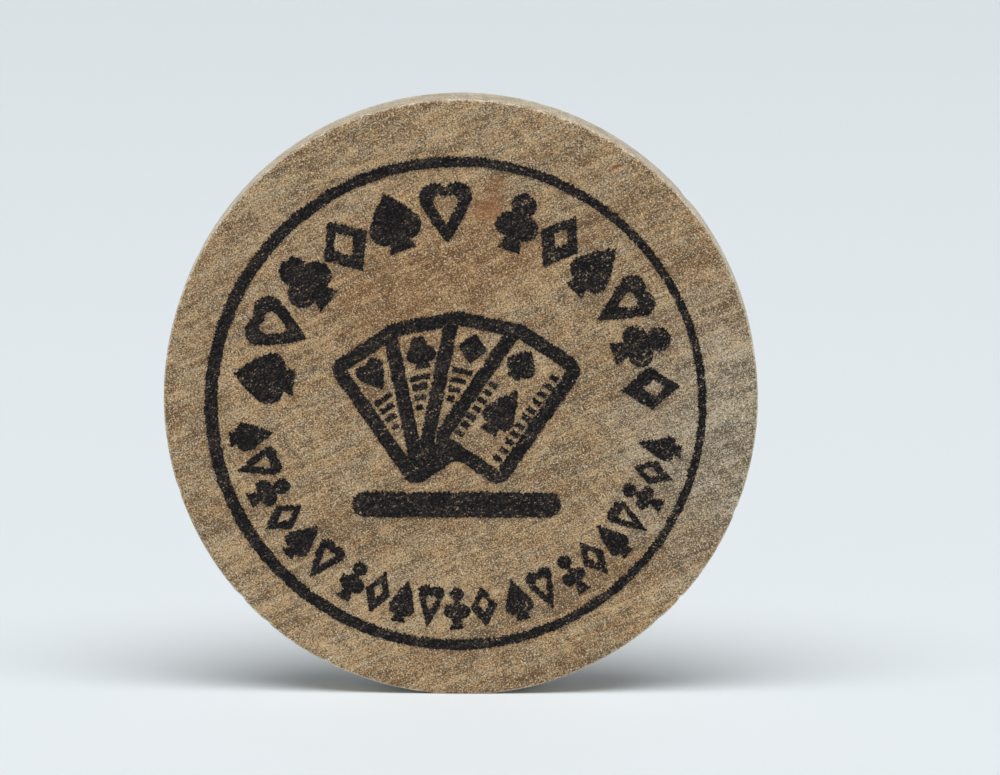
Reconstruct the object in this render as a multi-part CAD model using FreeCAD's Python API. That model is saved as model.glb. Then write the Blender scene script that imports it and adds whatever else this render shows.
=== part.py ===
import FreeCAD, Part

import math
import os

from FreeCAD import Placement, Rotation, Vector

# A printed wooden token that stands on its rim. Millimetres and degrees.
# The origin is the middle of the small worn flat on the rim that it stands on; +Z is up
# and the printed face looks along -Y. Every print is drawn flat, with its own centre at
# the origin, and is then stood up against the face.

# The blank
disc_diameter = 38.1
disc_thickness = 3.2
edge_radius = 0.25
rest_flat = 4.0           # across the worn flat, along the rim

# The print as a whole
ink_thickness = 0.04
print_margin = 3.02
print_shift = -0.25
print_rise = -0.33

# The border ring
ring_width = 0.68

# The two rows of card suits: groups of first angle, last angle and number of marks,
# with angles counted counter-clockwise from the right
upper_gap = 1.0
upper_height = 3.75
upper_groups = ((172.0, 93.0, 6), (71.5, 5.0, 6))
lower_gap = 0.68
lower_height = 2.7
lower_groups = ((189.0, 230.0, 6), (240.0, 277.5, 6), (287.0, 295.0, 2), (304.0, 348.0, 7))
mark_gap = 0.12
upper_stroke = 0.75
lower_stroke = 0.42

# The emblem: a fan of four playing cards over a ground bar, drawn at this size and
# fitted into the rows with emblem_clearance
emblem_clearance = 0.6
card_count = 4
card_width = 5.4
card_length = 9.4
card_corner = 0.9
card_stroke = 0.85
fan_spread = 68.6
fan_inner = 1.0
fan_gap = 0.25
bar_length = 13.1
bar_thickness = 1.6
bar_drop = 7.2
index_height = 2.0
index_gap = 0.28
pip_width = 2.1
pip_height = 3.2
hatch_width = 0.3
hatch_pitch = 0.62
dash_gap = 0.14

disc_radius = disc_diameter / 2
centre_height = math.sqrt(disc_radius ** 2 - (rest_flat / 2) ** 2)
ring_outer = disc_radius - edge_radius - print_margin
ring_inner = ring_outer - ring_width
upper_outer = ring_inner - upper_gap
upper_inner = upper_outer - upper_height
lower_outer = ring_inner - lower_gap
lower_inner = lower_outer - lower_height
emblem_radius = min(upper_inner, lower_inner) - emblem_clearance

card_reach = fan_inner + card_length
card_step = fan_spread / (card_count - 1)
foot_drop = (card_width / 2 * math.sin(math.radians(fan_spread / 2))
             - fan_inner * math.cos(math.radians(fan_spread / 2)))
fan_pivot = bar_thickness - bar_drop + fan_gap + foot_drop


def film(wire):
    """A closed flat wire filled with ink."""
    return Part.Face(wire).extrude(Vector(0, 0, ink_thickness))


def dot(x, y, radius):
    return Part.makeCylinder(radius, ink_thickness, Vector(x, y, 0))


def polygon(points):
    corners = [Vector(x, y, 0) for x, y in points]
    return film(Part.makePolygon(corners + corners[:1]))


def joined(pieces):
    return pieces[0].multiFuse(pieces[1:]).removeSplitter()


def heart(width, height):
    """Two round lobes with full sides that run down to the tip."""
    lobe = 0.28 * width
    lobe_x = width / 2 - lobe
    lobe_y = height / 2 - lobe
    tip = Vector(0, -height / 2, 0)
    reach = math.hypot(lobe_x, lobe_y - tip.y)
    slope = math.atan2(lobe_y - tip.y, lobe_x) - math.asin(lobe / reach)
    side = math.sqrt(reach ** 2 - lobe ** 2)
    right = Vector(side * math.cos(slope), tip.y + side * math.sin(slope), 0)
    swell = 0.025 * width
    flank = (tip + right) / 2 + Vector(swell * math.sin(slope), -swell * math.cos(slope), 0)
    notch = Vector(0, lobe_y + math.sqrt(lobe ** 2 - lobe_x ** 2), 0)
    top = Vector(lobe_x, height / 2, 0)
    left = Vector(-right.x, right.y, 0)
    left_top = Vector(-top.x, top.y, 0)
    left_flank = Vector(-flank.x, flank.y, 0)
    return film(Part.Wire([
        Part.Arc(tip, flank, right).toShape(),
        Part.Arc(right, top, notch).toShape(),
        Part.Arc(notch, left_top, left).toShape(),
        Part.Arc(left, left_flank, tip).toShape(),
    ]))


def diamond(width, height):
    return polygon([(0, -height / 2), (width / 2, 0), (0, height / 2), (-width / 2, 0)])


def stem(width, height):
    """The flared foot of a spade or a club."""
    return polygon([(-0.26 * width, -height / 2), (0.26 * width, -height / 2),
                    (0.08 * width, -0.1 * height), (-0.08 * width, -0.1 * height)])


def spade(width, height):
    """A heart on its head over a stem."""
    blade_height = 0.84 * height
    blade = heart(width, blade_height)
    blade.Placement = Placement(Vector(0, (height - blade_height) / 2, 0),
                                Rotation(Vector(0, 0, 1), 180))
    return joined([blade, stem(width, height)])


def club(width, height):
    """Three leaves, filled between, over a stem."""
    leaf = 0.28 * width
    side = width / 2 - leaf
    low = -0.07 * height
    leaves = [dot(0, height / 2 - leaf, leaf), dot(side, low, leaf), dot(-side, low, leaf)]
    middle = polygon([(-side, low), (side, low), (0, height / 2 - leaf)])
    return joined(leaves + [middle, stem(width, height)])


def open_mark(shape, width, height, stroke):
    """A mark drawn as an outline, as red suits are in a print of one colour."""
    keep = 1 - 2.2 * stroke / width
    hole = shape(keep * width, keep * height)
    hole.translate(Vector(0, 0.1 * (1 - keep) * height, 0))
    return shape(width, height).cut(hole)


def suit(index, width, height, stroke):
    """Spade, heart, club and diamond in turn."""
    if index % 2:
        return open_mark((heart, diamond)[index // 2 % 2], width, height, stroke)
    return (spade, club)[index // 2 % 2](width, height)


def row_of_suits(groups, inner, outer, stroke, upright):
    """Suits on an arc, their tops outwards, or inwards where upright is false."""
    middle = (inner + outer) / 2
    marks = []
    for first, last, count in groups:
        pitch = (last - first) / (count - 1)
        width = 2 * middle * math.sin(math.radians(abs(pitch) / 2)) - mark_gap
        for number in range(count):
            angle = first + pitch * number
            mark = suit(len(marks), width, outer - inner, stroke)
            mark.rotate(Vector(), Vector(0, 0, 1), angle - 90 if upright else angle + 90)
            mark.translate(Vector(middle * math.cos(math.radians(angle)),
                                  middle * math.sin(math.radians(angle)), 0))
            marks.append(mark)
    return Part.makeCompound(marks)


def border_ring():
    return dot(0, 0, ring_outer).cut(dot(0, 0, ring_inner))


def card(inset):
    """A card that stands over the fan's pivot, shrunk by inset on every side."""
    box = Part.makeBox(card_width - 2 * inset, card_length - 2 * inset, ink_thickness,
                       Vector(inset - card_width / 2, fan_inner + inset, 0))
    upright = [edge for edge in box.Edges
               if abs(edge.tangentAt(edge.FirstParameter).z) > 0.5]
    return box.makeFillet(max(card_corner - inset, 0.1), upright)


def fanned(shape, number):
    """Turn something drawn on the upright card to the place of card number."""
    turned = shape.copy()
    turned.rotate(Vector(), Vector(0, 0, 1), fan_spread / 2 - number * card_step)
    turned.translate(Vector(0, fan_pivot, 0))
    return turned


def open_strip(reach):
    """Left and right limits of the free paper on a covered card, at this reach."""
    turn = math.radians(card_step)
    left = card_stroke - card_width / 2
    return left, (reach * math.sin(turn) - card_width / 2) / math.cos(turn)


def card_outlines():
    outlines = []
    for number in range(card_count):
        outline = fanned(card(0).cut(card(card_stroke)), number)
        for cover in range(number + 1, card_count):
            outline = outline.cut(fanned(card(0), cover))
        outlines.append(outline)
    return joined(outlines)


def index_middle():
    return card_reach - card_stroke - index_gap - index_height / 2


def card_pips():
    """An index on every card and a large pip on the front one."""
    left, right = open_strip(index_middle())
    width = right - left - 2 * index_gap
    pips = []
    for number in range(card_count):
        index = (heart, club, diamond, spade)[number](width, index_height)
        index.translate(Vector((left + right) / 2, index_middle(), 0))
        pips.append(fanned(index, number))
    pip = spade(pip_width, pip_height)
    pip.translate(Vector(0, fan_inner + card_length * 0.44, 0))
    pips.append(fanned(pip, card_count - 1))
    return Part.makeCompound(pips)


def dash(x, y, length):
    return Part.makeBox(length, hatch_width, ink_thickness,
                        Vector(x - length / 2, y - hatch_width / 2, 0))


def card_shading():
    """Rungs down the free strip of each covered card, and dashes beside the pip."""
    dashes = []
    top = index_middle() - index_height / 2 - 2 * index_gap
    for number in range(card_count - 1):
        reach = top
        left, right = open_strip(reach)
        while right - left > 2 * index_gap + hatch_width:
            rung = dash((left + right) / 2, reach, right - left - 2 * index_gap)
            dashes.append(fanned(rung, number))
            reach -= hatch_pitch
            left, right = open_strip(reach)
    free = card_width / 2 - card_stroke - pip_width / 2
    column = pip_width / 2 + free / 2
    low = fan_inner + card_stroke + hatch_pitch
    for side, high in ((-1, top), (1, card_reach - card_stroke - hatch_pitch)):
        for step in range(int((high - low) / hatch_pitch) + 1):
            mark = dash(side * column, low + step * hatch_pitch, free - 2 * dash_gap)
            dashes.append(fanned(mark, card_count - 1))
    return Part.makeCompound(dashes)


def ground_bar():
    end = bar_thickness / 2
    middle = end - bar_drop
    half = bar_length / 2 - end
    body = Part.makeBox(2 * half, bar_thickness, ink_thickness, Vector(-half, -bar_drop, 0))
    return joined([body, dot(-half, middle, end), dot(half, middle, end)])


def fitted(shape):
    """Scale a part of the emblem, in its plane only, into the circle inside the rows."""
    fan_corner = Vector(card_width / 2, card_reach, 0)
    fan_corner = Rotation(Vector(0, 0, 1), -fan_spread / 2).multVec(fan_corner)
    fan_corner.y += fan_pivot
    drawn_reach = max(fan_corner.Length, math.hypot(bar_length / 2, bar_drop))
    scale = emblem_radius / drawn_reach
    solids = [solid.copy() for solid in shape.Solids]
    for solid in solids:
        solid.scale(scale)
    thinned = []
    for solid in solids:
        base = [face for face in solid.Faces
                if abs(face.CenterOfMass.z) < 1e-6 and abs(face.normalAt(0, 0).z) > 0.5]
        thinned.append(base[0].extrude(Vector(0, 0, ink_thickness)))
    return Part.makeCompound(thinned)


def wooden_disc():
    """The blank with both rims rounded, standing on its worn flat."""
    blank = Part.makeCylinder(disc_radius, disc_thickness)
    rims = [edge for edge in blank.Edges if isinstance(edge.Curve, Part.Circle)]
    blank = blank.makeFillet(edge_radius, rims)
    blank.Placement = Placement(Vector(0, disc_thickness / 2, centre_height),
                                Rotation(Vector(1, 0, 0), 90))
    below = Part.makeBox(disc_diameter, disc_diameter, disc_radius,
                         Vector(-disc_radius, -disc_radius, -disc_radius))
    return blank.cut(below)


def stood_up(shape):
    """Carry a flat print to its place on the standing face."""
    shape.Placement = Placement(
        Vector(print_shift, -disc_thickness / 2, centre_height + print_rise),
        Rotation(Vector(1, 0, 0), 90)).multiply(shape.Placement)
    return shape


prints = {
    "border_ring": border_ring(),
    "upper_suit_row": row_of_suits(upper_groups, upper_inner, upper_outer, upper_stroke, True),
    "lower_suit_row": row_of_suits(lower_groups, lower_inner, lower_outer, lower_stroke, False),
    "card_outlines": fitted(card_outlines()),
    "card_pips": fitted(card_pips()),
    "card_shading": fitted(card_shading()),
    "ground_bar": fitted(ground_bar()),
}

os.makedirs("parts", exist_ok=True)
wooden_disc().exportStep("parts/wooden_disc.step")
for node, shape in prints.items():
    stood_up(shape).exportStep(f"parts/{node}.step")
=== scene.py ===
import math

import bmesh
import bpy
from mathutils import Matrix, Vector, geometry, noise


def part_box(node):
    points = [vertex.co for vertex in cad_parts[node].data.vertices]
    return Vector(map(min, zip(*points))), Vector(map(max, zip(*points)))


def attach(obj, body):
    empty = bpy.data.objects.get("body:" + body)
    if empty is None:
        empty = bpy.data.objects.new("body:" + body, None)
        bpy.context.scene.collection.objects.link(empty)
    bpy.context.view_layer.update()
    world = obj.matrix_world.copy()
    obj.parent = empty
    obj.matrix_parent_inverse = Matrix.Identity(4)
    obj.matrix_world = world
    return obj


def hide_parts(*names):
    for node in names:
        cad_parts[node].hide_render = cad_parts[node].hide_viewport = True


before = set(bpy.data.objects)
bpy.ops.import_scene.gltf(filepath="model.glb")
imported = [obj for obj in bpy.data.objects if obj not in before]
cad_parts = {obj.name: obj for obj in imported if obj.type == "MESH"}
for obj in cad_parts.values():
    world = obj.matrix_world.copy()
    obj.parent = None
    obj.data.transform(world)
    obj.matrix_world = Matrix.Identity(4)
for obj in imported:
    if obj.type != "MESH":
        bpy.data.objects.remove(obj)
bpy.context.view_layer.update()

mm = 0.001
weldReach = 0.0005 * mm    # corners closer than this are one corner
view = bpy.context.scene.view_settings
view.view_transform = "Standard"

# the token, as the frame gives it
discLow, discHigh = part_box("wooden_disc")
discRadius = (discHigh.x - discLow.x) / 2
discHalf = (discHigh.y - discLow.y) / 2
discCentre = Vector((0, 0, discHigh.z - discRadius))
frontY = -discHalf


def paint(hexCode):
    # a colour written as a painter picks it, turned into the renderer's linear light
    parts = [int(hexCode[i:i + 2], 16) / 255 for i in (0, 2, 4)]
    linear = [((c + 0.055) / 1.055) ** 2.4 if c > 0.04045 else c / 12.92 for c in parts]
    return (*linear, 1)


def addPiece(name, shape, material):
    mesh = bpy.data.meshes.new(name)
    shape.to_mesh(mesh)
    shape.free()
    mesh.materials.append(material)
    piece = bpy.data.objects.new(name, mesh)
    bpy.context.scene.collection.objects.link(piece)
    return piece


class Wire:
    # a node's output that can be added, multiplied and compared like a number
    def __init__(self, shade, socket):
        self.shade = shade
        self.socket = socket

    def maths(self, operation, other, flip=False):
        first, second = (other, self) if flip else (self, other)
        return self.shade.node("ShaderNodeMath", {"operation": operation}, {0: first, 1: second})

    def __add__(self, other):
        return self.maths("ADD", other)

    def __sub__(self, other):
        return self.maths("SUBTRACT", other)

    def __mul__(self, other):
        return self.maths("MULTIPLY", other)

    def __rsub__(self, other):
        return self.maths("SUBTRACT", other, flip=True)

    __radd__ = __add__
    __rmul__ = __mul__

    def above(self, low, high):
        # 0 below low, 1 above high, smooth between
        return self.shade.node("ShaderNodeMapRange", {"interpolation_type": "SMOOTHSTEP"},
                               {"Value": self, "From Min": low, "From Max": high})


class Shade:
    # one material and its nodes
    def __init__(self, name):
        self.material = bpy.data.materials.new(name)
        self.material.use_nodes = True
        self.tree = self.material.node_tree
        self.surface = self.tree.nodes["Principled BSDF"]
        self.place = self.node("ShaderNodeTexCoord", {}, {}, "Object")

    def node(self, kind, settings, inputs, output=0):
        made = self.tree.nodes.new(kind)
        for key, value in settings.items():
            setattr(made, key, value)
        for key, value in inputs.items():
            if isinstance(value, Wire):
                self.tree.links.new(value.socket, made.inputs[key])
            else:
                made.inputs[key].default_value = value
        return Wire(self, made.outputs[output])

    def placeOf(self, axis):
        return self.node("ShaderNodeSeparateXYZ", {}, {"Vector": self.place}, axis)

    def reach(self, where):
        # how far a point is from the middle of its coordinates
        return self.node("ShaderNodeVectorMath", {"operation": "LENGTH"}, {0: where}, "Value")

    def give(self, socket, wire):
        self.tree.links.new(wire.socket, self.surface.inputs[socket])

    def grained(self, along, across, through=None, turn=0.0, shift=(0, 0, 0)):
        # coordinates that lie along the wood's fibres, one unit per given size in millimetres
        angle = wood["grainAngle"] + turn
        size = (along * mm, (through or across) * mm, across * mm)
        return self.node("ShaderNodeMapping", {"vector_type": "TEXTURE"},
                         {"Vector": self.place, "Location": discCentre + Vector(shift) * mm,
                          "Rotation": (0, -math.radians(angle), 0), "Scale": size}, "Vector")

    def noise(self, where, detail, roughness=0.5, bend=0.0):
        return self.node("ShaderNodeTexNoise", {},
                         {"Vector": where, "Scale": 1.0, "Detail": detail, "Roughness": roughness,
                          "Distortion": bend})

    def blend(self, amount, first, second):
        # colour sockets of a mix: 0 is the factor, 6 and 7 the colours, and output 2 the result
        return self.node("ShaderNodeMix", {"data_type": "RGBA"}, {0: amount, 6: first, 7: second}, 2)

    def bump(self, height):
        return self.node("ShaderNodeBump", {}, {"Height": height, "Distance": wood["fibreDepth"],
                                                "Strength": wood["fibreStrength"]})


wood = {
    "grainAngle": 24.0,        # degrees the fibres climb to the right
    "curlAngle": -50.0,        # degrees the faint bands of the figure climb
    "hollow": "614729",        # the dark end and the pale end of plain wood
    "ridge": "cdb58d",
    "warmHollow": "6f4826",    # the same where the wood is redder
    "warmRidge": "cfa877",
    "greyHollow": "60533f",    # and where the wood is greyer and paler, towards the right
    "greyRidge": "cfc3ac",
    "greyPlace": (19.0, -3.0),
    "greyReach": 12.0,
    "warmPlace": (-2.5, 8.0, 10.5, 5.5),    # right, up, half length and half width
    "rimHollowAndHighlight": "9c886b",     # the sawn rim is paler than the faces; part of that paleness is a painted highlight of the lit rim
    "rimRidgeAndHighlight": "f0e3c8",
    "rimFadeStart": 0.014 * mm,    # how deep past a face the rim's sawn colour and painted highlight begin and are full
    "rimFadeEnd": 0.09 * mm,
    "rimShare": 0.85,
    "sawPitch": 0.13,
    "fibreDepth": 0.035 * mm,
    "fibreStrength": 0.6,
    "gloss": 0.3,
    "roughness": 0.66,
    "roughnessSwing": 0.3,     # how much more the high fibres scatter
    "fuzz": 0.25,              # the sheen that a saw leaves
    "fuzzRoughness": 0.4,
    "stain": "8f5529",
    "splinter": "7c2f1a",
    "pit": "2c2019",
    "pore": "3b2a1c",
    "glint": "efe3cd",
}

# colour, middle right and up from the disc's centre, then half length and half width, millimetres
woodSpots = (("stain", 1.8, 12.0, 1.2, 1.0, 0.5), ("stain", 2.2, 13.4, 0.8, 0.7, 0.35),
             ("splinter", 9.7, 14.8, 0.42, 0.14, 0.8), ("pit", 16.8, -6.9, 0.2, 0.1, 0.8),
             ("pit", -12.6, -9.9, 0.16, 0.08, 0.6), ("pit", -7.9, 15.1, 0.14, 0.09, 0.6))


def woodGrain(shade):
    # tone runs from dark to pale, warmth from grey-brown to red-brown, height is the surface's
    across = wood["curlAngle"] - wood["grainAngle"]
    speck = shade.noise(shade.grained(0.1, 0.08), 1, 0.5) - 0.5
    mealy = shade.noise(shade.grained(0.2, 0.16, shift=(3, 1, 2)), 2, 0.7) - 0.5
    fibre = shade.noise(shade.grained(2.8, 0.28, shift=(1, 6, 2)), 2, 0.6) - 0.5
    tint = shade.noise(shade.grained(2.4, 0.4, shift=(6, 1, 8)), 2, 0.6) - 0.5
    curl = shade.noise(shade.grained(5.5, 0.55, turn=across), 2, 0.5, 0.4) - 0.5
    bands = shade.noise(shade.grained(24.0, 1.9, shift=(2, 0, 5)), 2, 0.5) - 0.5
    blotch = shade.noise(shade.grained(0.9, 0.55, shift=(7, 2, 5)), 3, 0.65) - 0.5
    right, up, length, width = wood["warmPlace"]
    warmed = 1 - shade.reach(shade.grained(length, width, shift=(right, frontY / mm, up))).above(0.1, 1.2)
    tone = 0.38 + 2.8 * speck + 1.3 * mealy + fibre + 0.5 * curl + 0.7 * bands + 1.3 * blotch
    warmth = 0.4 + 1.1 * blotch + 1.3 * tint + 0.3 * mealy + 0.4 * warmed
    height = speck + 0.7 * mealy + 0.7 * fibre
    return tone - 0.05 * warmed, warmth, height


def woodColour(shade):
    # the bare wood's colour, its tone and the height of its fibres, for the blank and the thin ink
    tone, warmth, height = woodGrain(shade)
    plain = shade.blend(tone, paint(wood["hollow"]), paint(wood["ridge"]))
    warm = shade.blend(tone, paint(wood["warmHollow"]), paint(wood["warmRidge"]))
    grey = shade.blend(tone, paint(wood["greyHollow"]), paint(wood["greyRidge"]))
    colour = shade.blend(warmth, plain, warm)
    right, up = wood["greyPlace"]
    around = shade.grained(wood["greyReach"], wood["greyReach"], shift=(right, frontY / mm, up))
    greyed = 1 - shade.reach(around).above(0.2, 1.1)
    colour = shade.blend(0.08 + greyed * 0.65 - 0.6 * (warmth - 0.4), colour, grey)
    pore = shade.noise(shade.grained(0.17, 0.11, shift=(4, 4, 4)), 0)
    colour = shade.blend(pore.above(0.66, 0.76) * 0.6, colour, paint(wood["pore"]))
    glint = shade.noise(shade.grained(0.14, 0.1, shift=(8, 3, 6)), 0)
    colour = shade.blend(glint.above(0.66, 0.76) * 0.62, colour, paint(wood["glint"]))
    for name, right, up, length, width, amount in woodSpots:
        reach = shade.reach(shade.grained(length, width, shift=(right, frontY / mm, up)))
        colour = shade.blend((1 - reach.above(0.3, 1.3)) * amount, colour, paint(wood[name]))
    return colour, tone, height


def bareMaple():
    shade = Shade("bareMaple")
    colour, tone, height = woodColour(shade)
    depth = shade.placeOf("Y")
    start, end = wood["rimFadeStart"], wood["rimFadeEnd"]
    rim = depth.above(frontY + start, frontY + end)
    rim = rim * (1 - depth.above(discHalf - end, discHalf - start))
    sawLines = shade.noise(shade.grained(7.0, 7.0, through=wood["sawPitch"]), 2, 0.6) - 0.5
    # the rim's colour: sawn wood, made paler still by a painted highlight
    sawnAndHighlight = shade.blend(tone + 0.9 * sawLines, paint(wood["rimHollowAndHighlight"]), paint(wood["rimRidgeAndHighlight"]))
    shade.give("Base Color", shade.blend(rim * wood["rimShare"], colour, sawnAndHighlight))
    shade.give("Normal", shade.bump(height + rim * sawLines * 1.5))
    shade.give("Roughness", wood["roughness"] + wood["roughnessSwing"] * height)
    shade.surface.inputs["Specular IOR Level"].default_value = wood["gloss"]
    shade.surface.inputs["Sheen Weight"].default_value = wood["fuzz"]
    shade.surface.inputs["Sheen Roughness"].default_value = wood["fuzzRoughness"]
    return shade.material


blank = {
    "edgeRadius": 0.25 * mm,
    "turns": 480,
    "faceRings": 62,
    "backRings": 24,
    "edgeSteps": 6,
    "rimSteps": 12,
    "shrunkAcross": 0.981,     # the wood dried a little narrower than it is tall
    "faceWave": 0.012 * mm,
    "rimWave": 0.04 * mm,
    "nickReach": 0.8,          # how far a nick fades inwards, millimetres
    # angle in degrees from the right, side (-1 front, 1 back), width and depth in millimetres
    "nicks": ((338, -1, 0.22, 0.12), (222, -1, 0.3, 0.1), (229, -1, 0.2, 0.09), (312, -1, 0.35, 0.09),
              (318, -1, 0.2, 0.1), (243, -1, 0.25, 0.08), (198, -1, 0.25, 0.06), (61, -1, 0.3, 0.05),
              (118, -1, 0.35, 0.05), (20, -1, 0.3, 0.06), (152, 1, 0.3, 0.08), (262, 1, 0.35, 0.09),
              (41, 1, 0.4, 0.1), (205, 1, 0.3, 0.08)),
}


def blankProfile(shape):
    # half a section of the disc as a chain of edges, from the middle of the front to the middle of the back
    flat = discRadius - blank["edgeRadius"]
    points = [(flat * step / blank["faceRings"], -discHalf) for step in range(blank["faceRings"] + 1)]
    for step in range(1, blank["edgeSteps"] + 1):
        turn = math.pi / 2 * step / blank["edgeSteps"]
        points.append((flat + blank["edgeRadius"] * math.sin(turn),
                       -discHalf + blank["edgeRadius"] * (1 - math.cos(turn))))
    low = -discHalf + blank["edgeRadius"]
    for step in range(1, blank["rimSteps"] + 1):
        points.append((discRadius, low * (1 - 2 * step / blank["rimSteps"])))
    for step in range(1, blank["edgeSteps"] + 1):
        turn = math.pi / 2 * step / blank["edgeSteps"]
        points.append((flat + blank["edgeRadius"] * math.cos(turn),
                       discHalf - blank["edgeRadius"] * (1 - math.sin(turn))))
    for step in range(blank["backRings"] - 1, -1, -1):
        points.append((flat * step / blank["backRings"], discHalf))
    chain = [shape.verts.new((radius, y, 0)) for radius, y in points]
    return [shape.edges.new(pair) for pair in zip(chain, chain[1:])]


def wearBlank(vert):
    # waves, soft dents and nicks, so that the outline is cut wood and not a drawn circle
    radius = math.hypot(vert.co.x, vert.co.z)
    angle = math.atan2(vert.co.z, vert.co.x)
    around = Vector((math.cos(angle), math.sin(angle), 0))
    reach = blank["nickReach"] * mm
    nearRim = max(0.0, 1 - (discRadius - radius) / reach)
    push = 0.0
    if nearRim > 0:
        push -= blank["rimWave"] * (0.5 + noise.noise(around * 2.3)) * nearRim
        ripple = noise.noise(around * 14 + Vector((0, 0, vert.co.y / mm)))
        push -= blank["rimWave"] * 0.35 * abs(ripple) * nearRim
    side = 1 if vert.co.y > 0 else -1
    nearEdge = max(0.0, 1 - (discHalf - abs(vert.co.y)) / reach) * nearRim
    for nickAngle, nickSide, width, depth in blank["nicks"]:
        if nickSide == side and nearEdge > 0:
            gap = (angle - math.radians(nickAngle) + math.pi) % (2 * math.pi) - math.pi
            hit = math.exp(-(gap * discRadius / (width * mm)) ** 2) * nearEdge
            push -= depth * mm * hit
            vert.co.y -= side * 0.5 * depth * mm * hit
    if abs(vert.co.y) > discHalf - 0.02 * mm:
        wave = noise.noise(Vector((vert.co.x, vert.co.z, side)) / (1.9 * mm))
        vert.co.y -= side * blank["faceWave"] * (0.5 + 0.5 * wave)
    grown = 1 + push / max(radius, mm)
    vert.co.x *= grown * blank["shrunkAcross"]
    vert.co.z *= grown


def makeBlank(material):
    shape = bmesh.new()
    chain = blankProfile(shape)
    bmesh.ops.spin(shape, geom=chain + list(shape.verts), cent=(0, 0, 0), axis=(0, 1, 0),
                   angle=2 * math.pi, steps=blank["turns"], use_merge=True)
    bmesh.ops.remove_doubles(shape, verts=shape.verts, dist=weldReach)
    for vert in shape.verts:
        wearBlank(vert)
        vert.co.z = max(vert.co.z + discCentre.z, 0.0)    # the worn flat it stands on
    bmesh.ops.recalc_face_normals(shape, faces=shape.faces)
    for face in shape.faces:
        face.smooth = True
    piece = addPiece("tokenBlank", shape, material)
    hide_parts("wooden_disc")
    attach(piece, "root")


ink = {
    "film": 0.035 * mm,
    "step": 0.035 * mm,        # length of the little edges along an outline
    "teeth": 0.19,             # how far ink creeps between fibres, millimetres
    "toothPitch": 0.095,
    "swell": 0.05,             # the slower unevenness of the stamp
    "swellPitch": 0.6,
    "creepSide": (-0.45, 0, 0.89),    # the way the stamp was dragged, so teeth are longest there
    "black": "090608",
    "faded": "574d47",
    "gloss": 0.14,
    "roughness": 0.6,
}

# node, the extra boldness of its lines on the left and on the right, in millimetres
stamps = {
    "border_ring": (0.06, -0.09),
    "upper_suit_row": (0.03, 0.01),
    "lower_suit_row": (0.03, 0.0),
    "card_outlines": (0.03, 0.0),
    "card_pips": (0.02, 0.0),
    "card_shading": (0.03, 0.01),
    "ground_bar": (0.02, 0.0),
}


def inkOutline(node):
    # the outline of a node's printed side in short steps, every corner with the way out of the ink
    shape = bmesh.new()
    shape.from_mesh(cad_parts[node].data)
    bmesh.ops.remove_doubles(shape, verts=shape.verts, dist=weldReach)
    shape.normal_update()
    unseen = [face for face in shape.faces if face.normal.y > -0.5]
    bmesh.ops.delete(shape, geom=unseen, context="FACES")
    byCuts = {}
    for edge in shape.edges:
        if edge.is_boundary:
            byCuts.setdefault(int(edge.calc_length() / ink["step"]), []).append(edge)
    for cuts, edges in byCuts.items():
        if cuts:
            bmesh.ops.subdivide_edges(shape, edges=edges, cuts=cuts)
    outward = shape.verts.layers.float_vector.new("outward")
    for vert in shape.verts:
        vert[outward] = (0, 0, 0)
    for edge in shape.edges:
        if edge.is_boundary:
            loop = edge.link_loops[0]
            along = (loop.link_loop_next.vert.co - loop.vert.co).normalized()
            for vert in edge.verts:
                vert[outward] = Vector(vert[outward]) + along.cross(loop.face.normal)
    inner = [edge for edge in shape.edges if not edge.is_boundary]
    bmesh.ops.delete(shape, geom=inner, context="EDGES_FACES")
    bmesh.ops.delete(shape, geom=list(shape.faces), context="FACES_ONLY")
    return shape, outward


def bleed(shape, outward, boldness):
    # ink creeps into the wood beyond the stamp's edge, in fine teeth and slow swells
    drag = Vector(ink["creepSide"])
    for vert in shape.verts:
        out = Vector(vert[outward])
        if out.length > 0:
            out.normalize()
        place = (vert.co - discCentre) / mm
        share = place.x / 30 + 0.5
        push = boldness[0] * (1 - share) + boldness[1] * share
        sharp = 0.5 + 0.5 * max(0.0, out.dot(drag))
        push += ink["teeth"] * sharp * noise.noise(place / ink["toothPitch"])
        push += ink["swell"] * noise.noise(place / ink["swellPitch"] + Vector((7, 3, 1)))
        vert.co += out * push * mm


def closedLines(outline):
    # each outline's corners in order
    outline.verts.index_update()
    lines = []
    for vert in outline.verts:
        line = []
        while vert and not vert.tag:
            vert.tag = True
            line.append(vert.index)
            ahead = [edge.other_vert(vert) for edge in vert.link_edges]
            vert = next((other for other in ahead if not other.tag), None)
        if line:
            lines.append(line)
    return lines


def fillFilm(outline):
    # the thin coat between the outlines; two lines that bled into each other become one
    for vert in outline.verts:
        vert.tag = False
    lines = closedLines(outline)
    spots = [Vector((vert.co.x, vert.co.z)) / mm for vert in outline.verts]
    outline.free()
    corners, _, faces, *_ = geometry.delaunay_2d_cdt(spots, [], lines, 2, 0.0005)
    shape = bmesh.new()
    verts = [shape.verts.new((x * mm, frontY, z * mm)) for x, z in corners]
    for face in faces:
        shape.faces.new([verts[index] for index in face])
    loose = [vert for vert in shape.verts if not vert.link_faces]
    bmesh.ops.delete(shape, geom=loose, context="VERTS")
    grown = bmesh.ops.extrude_face_region(shape, geom=list(shape.faces), use_keep_orig=True)
    raised = [part for part in grown["geom"] if isinstance(part, bmesh.types.BMVert)]
    bmesh.ops.translate(shape, verts=raised, vec=(0, -ink["film"], 0))
    bmesh.ops.recalc_face_normals(shape, faces=shape.faces)
    return shape


def makeStamp(node, boldness, material):
    outline, outward = inkOutline(node)
    bleed(outline, outward, boldness)
    name = "ink" + "".join(word.capitalize() for word in node.split("_"))
    piece = addPiece(name, fillFilm(outline), material)
    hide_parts(node)
    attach(piece, "root")


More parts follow.
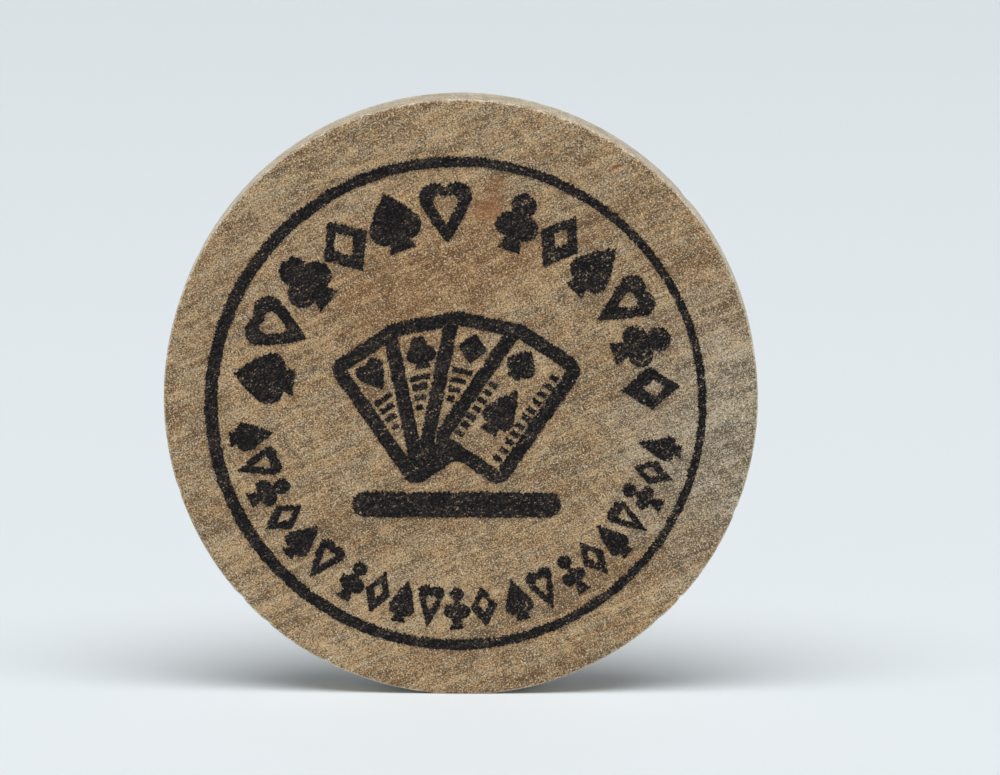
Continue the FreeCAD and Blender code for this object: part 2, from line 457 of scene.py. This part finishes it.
def stampingInk():
    shade = Shade("stampingInk")
    colour, _, height = woodColour(shade)
    cloud = shade.noise(shade.grained(1.4, 0.9, shift=(5, 0, 1)), 3, 0.6) - 0.5
    grit = shade.noise(shade.grained(0.12, 0.09, shift=(1, 2, 9)), 1, 0.6) - 0.5
    tone = 0.12 + 1.7 * grit + 0.8 * cloud + 0.5 * height
    black = shade.blend(tone, paint(ink["black"]), paint(ink["faded"]))
    thin = shade.placeOf("X").above(-6 * mm, 16 * mm) * 0.05 + 0.35 * cloud + 0.6 * height + 1.2 * grit
    bare = thin.above(0.2, 0.5) * 0.8
    shade.give("Base Color", shade.blend(bare, black, colour))
    shade.give("Roughness", ink["roughness"] + wood["roughnessSwing"] * height)
    shade.give("Normal", shade.bump(height))
    shade.surface.inputs["Specular IOR Level"].default_value = ink["gloss"]
    return shade.material


studio = {
    "floorRadius": 0.55,
    "coveRadius": 0.3,
    "coveSteps": 12,
    "coveTurns": 96,
    "floorColour": "e6ebee",
    "floorRoughness": 0.75,
    "floorGloss": 0.15,
    "worldColour": (0.87, 0.94, 1.0, 1),
    "worldStrength": 0.17,
    "lampPlace": (0.0, -0.5, 1.6),
    "lampWidth": 2.5,
    "lampDepth": 1.0,
    "lampPower": 30.5,
    "camAzimuth": 1.0,
    "camElevation": 10.5,
    "camDistance": 0.45,
    "lens": 257.1,
    "sensorWidth": 36,
    "aimRight": 2.45 * mm,
    "aimUp": 0.41 * mm,
}


def makeCove():
    shape = bmesh.new()
    points = [(0.0, 0.0), (studio["floorRadius"], 0.0)]
    for step in range(1, studio["coveSteps"] + 1):
        turn = math.pi / 2 * step / studio["coveSteps"]
        points.append((studio["floorRadius"] + studio["coveRadius"] * math.sin(turn),
                       studio["coveRadius"] * (1 - math.cos(turn))))
    chain = [shape.verts.new((x, 0, z)) for x, z in points]
    edges = [shape.edges.new(pair) for pair in zip(chain, chain[1:])]
    bmesh.ops.spin(shape, geom=edges + chain, cent=(0, 0, 0), axis=(0, 0, 1),
                   angle=2 * math.pi, steps=studio["coveTurns"], use_merge=True)
    bmesh.ops.remove_doubles(shape, verts=shape.verts, dist=0.0001)
    for face in shape.faces:
        face.smooth = True
        if face.normal.z < 0:
            face.normal_flip()
    shade = Shade("paleTable")
    shade.surface.inputs["Base Color"].default_value = paint(studio["floorColour"])
    shade.surface.inputs["Roughness"].default_value = studio["floorRoughness"]
    shade.surface.inputs["Specular IOR Level"].default_value = studio["floorGloss"]
    cove = addPiece("paleTable", shape, shade.material)


def lightScene():
    world = bpy.data.worlds.new("paleRoom")
    world.use_nodes = True
    sky = world.node_tree.nodes["Background"]
    sky.inputs["Color"].default_value = studio["worldColour"]
    sky.inputs["Strength"].default_value = studio["worldStrength"]
    bpy.context.scene.world = world
    lamp = bpy.data.lights.new("overheadSoftbox", "AREA")
    lamp.shape = "ELLIPSE"
    lamp.size = studio["lampWidth"]
    lamp.size_y = studio["lampDepth"]
    lamp.energy = studio["lampPower"]
    holder = bpy.data.objects.new("overheadSoftbox", lamp)
    bpy.context.scene.collection.objects.link(holder)
    place = Vector(studio["lampPlace"])
    aim = (Vector((0, 0, 0.01)) - place).to_track_quat("-Z", "Y")
    holder.location = place
    holder.rotation_euler = aim.to_euler()


def placeCamera():
    azimuth = math.radians(studio["camAzimuth"])
    elevation = math.radians(studio["camElevation"])
    away = Vector((math.sin(azimuth) * math.cos(elevation),
                   -math.cos(azimuth) * math.cos(elevation), math.sin(elevation)))
    middle = (discLow + discHigh) / 2
    place = middle + away * studio["camDistance"]
    facing = (-away).to_track_quat("-Z", "Y")
    right, up = facing @ Vector((1, 0, 0)), facing @ Vector((0, 1, 0))
    target = middle + right * studio["aimRight"] + up * studio["aimUp"]
    camera = bpy.data.cameras.new("camera")
    camera.lens = studio["lens"]
    camera.sensor_width = studio["sensorWidth"]
    camera.clip_start = 0.01
    holder = bpy.data.objects.new("camera", camera)
    bpy.context.scene.collection.objects.link(holder)
    holder.location = place
    holder.rotation_euler = (target - place).to_track_quat("-Z", "Y").to_euler()
    bpy.context.scene.camera = holder


makeBlank(bareMaple())
print("blank made")
inkMaterial = stampingInk()
for node, boldness in stamps.items():
    makeStamp(node, boldness, inkMaterial)
print("ink made")
makeCove()
lightScene()
placeCamera()
print("studio made")
